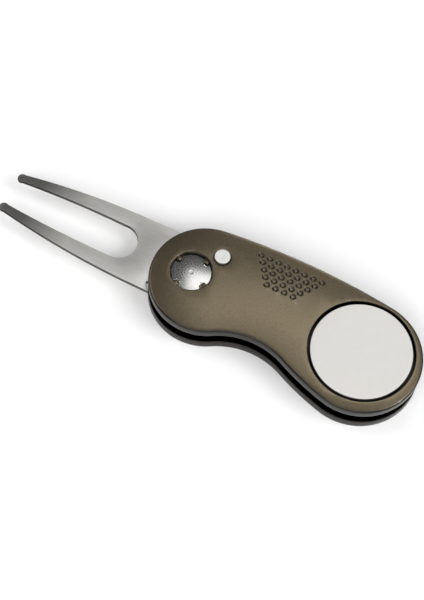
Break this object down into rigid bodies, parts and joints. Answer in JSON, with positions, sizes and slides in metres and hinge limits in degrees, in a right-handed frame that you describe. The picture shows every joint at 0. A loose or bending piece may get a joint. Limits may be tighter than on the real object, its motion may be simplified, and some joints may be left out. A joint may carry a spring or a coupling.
{
  "type": "divot repair tool",
  "caption": "Pocket divot repair tool: a fork folds out of a slim metal handle with a push button lock and a magnetic ball marker.",
  "frame": {"origin": "on the fork's pivot axis, in the plane of the handle's flat back", "axes": "+X along the handle from the fork pivot to the ball marker, +Y across it towards the straight back edge, +Z out of the marker face; the fork is open and points along -X"},
  "size_m": [0.113, 0.0313, 0.0102],
  "materials": {
    "bronze_anodised": "satin anodised",
    "black_plastic": "matte",
    "brushed_blade": "brushed",
    "bushing_bronze": "machined",
    "washer_plastic": "matte",
    "spring_wire": "drawn wire",
    "pin_steel": "ground",
    "turned_cap": "turned bright",
    "satin_button": "satin",
    "magnet_nickel": "nickel plated",
    "satin_marker": "satin bead blasted",
    "black_screw": "black oxide"
  },
  "bodies": {
    "handle": {"front_shell": "bronze_anodised", "back_shell": "bronze_anodised", "spine_spacer": "black_plastic", "front_washer": "washer_plastic", "back_washer": "washer_plastic", "torsion_spring": "spring_wire", "pivot_post": "pin_steel", "pivot_cap": "turned_cap", "button_spring": "spring_wire", "marker_magnet": "magnet_nickel", "casing_screw_1": "black_screw", "casing_screw_2": "black_screw", "casing_screw_3": "black_screw", "locating_pin_1": "pin_steel", "locating_pin_2": "pin_steel", "stop_pin": "pin_steel"},
    "fork": {"fork": "brushed_blade", "fork_bushing": "bushing_bronze"},
    "button": {"push_button": "satin_button"},
    "marker": {"ball_marker": "satin_marker"}
  },
  "joints": [
    {"name": "fork_pivot", "type": "hinge", "parent": "handle", "child": "fork", "pos_m": [0, 0, 0.00455], "axis": [0, 0, 1], "range_deg": [0, 183], "stiffness_Nm_per_rad": 0.006, "springref_deg": -40.11, "deforming": ["torsion_spring"]},
    {"name": "button_press", "type": "slide", "parent": "handle", "child": "button", "axis": [0, 0, -1], "range_m": [0, 0.0012], "stiffness_N_per_m": 500, "springref_m": -0.002, "deforming": ["button_spring"]},
    {"name": "marker_lift", "type": "slide", "parent": "handle", "child": "marker", "axis": [0, 0, 1], "range_m": [0, 0.012]}
  ]
}
